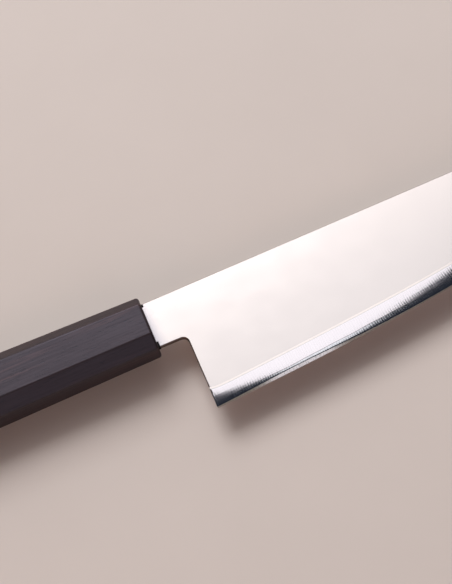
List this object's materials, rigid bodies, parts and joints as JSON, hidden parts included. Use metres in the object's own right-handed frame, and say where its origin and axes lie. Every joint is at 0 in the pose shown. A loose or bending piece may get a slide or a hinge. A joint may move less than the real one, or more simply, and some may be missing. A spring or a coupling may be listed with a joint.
{
  "type": "santoku knife",
  "caption": "Santoku kitchen knife: laminated double-bevelled blade with a stick tang, sealed and bedded in a tapered octagonal ebony handle.",
  "frame": {"origin": "under the middle of the whole knife, at the lowest level of the handle's lower side", "axes": "+X from the handle to the tip, +Y from the edge to the spine, +Z out of the blade's right face, so the knife lies on its left side"},
  "size_m": [0.3086, 0.0494, 0.0226],
  "materials": {
    "core_steel": "ground hard steel, fine scratches across the edge",
    "cladding_steel": "polished",
    "ebony": "oiled ebony with a soft sheen",
    "seal": "set black resin",
    "resin": "set resin, hidden"
  },
  "bodies": {
    "root": {"blade_core": "core_steel", "blade_cladding_right": "cladding_steel", "blade_cladding_left": "cladding_steel", "handle": "ebony", "mouth_seal": "seal", "tang_bed": "resin"}
  },
  "joints": []
}
